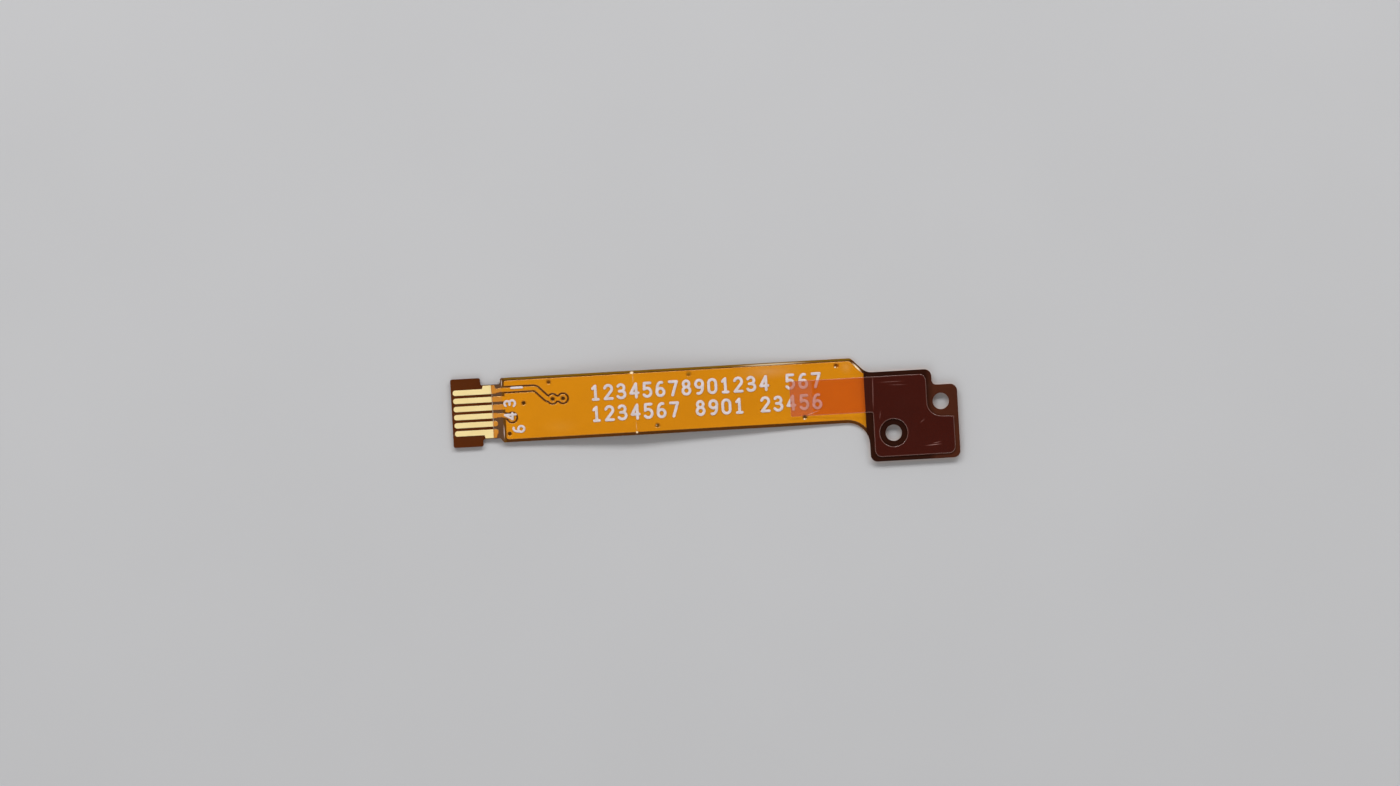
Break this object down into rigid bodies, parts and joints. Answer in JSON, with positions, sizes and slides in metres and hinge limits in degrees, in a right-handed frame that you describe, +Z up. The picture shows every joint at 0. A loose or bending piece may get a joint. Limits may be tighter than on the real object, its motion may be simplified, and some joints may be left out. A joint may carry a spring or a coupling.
{
  "type": "flat flex cable",
  "caption": "Short double-sided flexible printed circuit: a stiffened contact end with ears, a gently bowed ribbon, and a stiffened pad with locating holes, mounting adhesive and a pull tab.",
  "frame": {"origin": "under the middle of the cable's box, on the surface that it lies on", "axes": "+X along the cable from the contacts to the pad, +Y across the contact row towards contact 1, +Z up out of the contacts' faces"},
  "size_m": [0.031, 0.0066, 0.0008],
  "materials": {
    "polyimide_film": "glossy amber film",
    "gold_plated_copper": "soft gold plating",
    "copper": "satin copper under amber film",
    "via_copper": "satin copper plating",
    "film_adhesive": "clear amber adhesive",
    "coverlay": "glossy amber film with a fine grain",
    "stiffener": "satin brown laminate",
    "mounting_adhesive": "clear tacky film",
    "release_liner": "clear red film, fine scratches"
  },
  "bodies": {
    "root": {"base_film": "polyimide_film", "signal_track_one": "gold_plated_copper", "ground_plane": "copper", "signal_track_four": "gold_plated_copper", "spare_contacts": "gold_plated_copper", "lower_supply_track": "copper", "lower_signal_track": "copper", "lower_ground_plane": "copper", "via_barrels": "via_copper", "upper_bond": "film_adhesive", "top_coverlay": "coverlay", "lower_bond": "film_adhesive", "bottom_coverlay": "coverlay", "contact_stiffener": "stiffener", "contact_stiffener_bond": "film_adhesive", "pad_stiffener": "stiffener", "pad_stiffener_bond": "film_adhesive", "mounting_adhesive": "mounting_adhesive", "release_liner": "release_liner"}
  },
  "joints": []
}
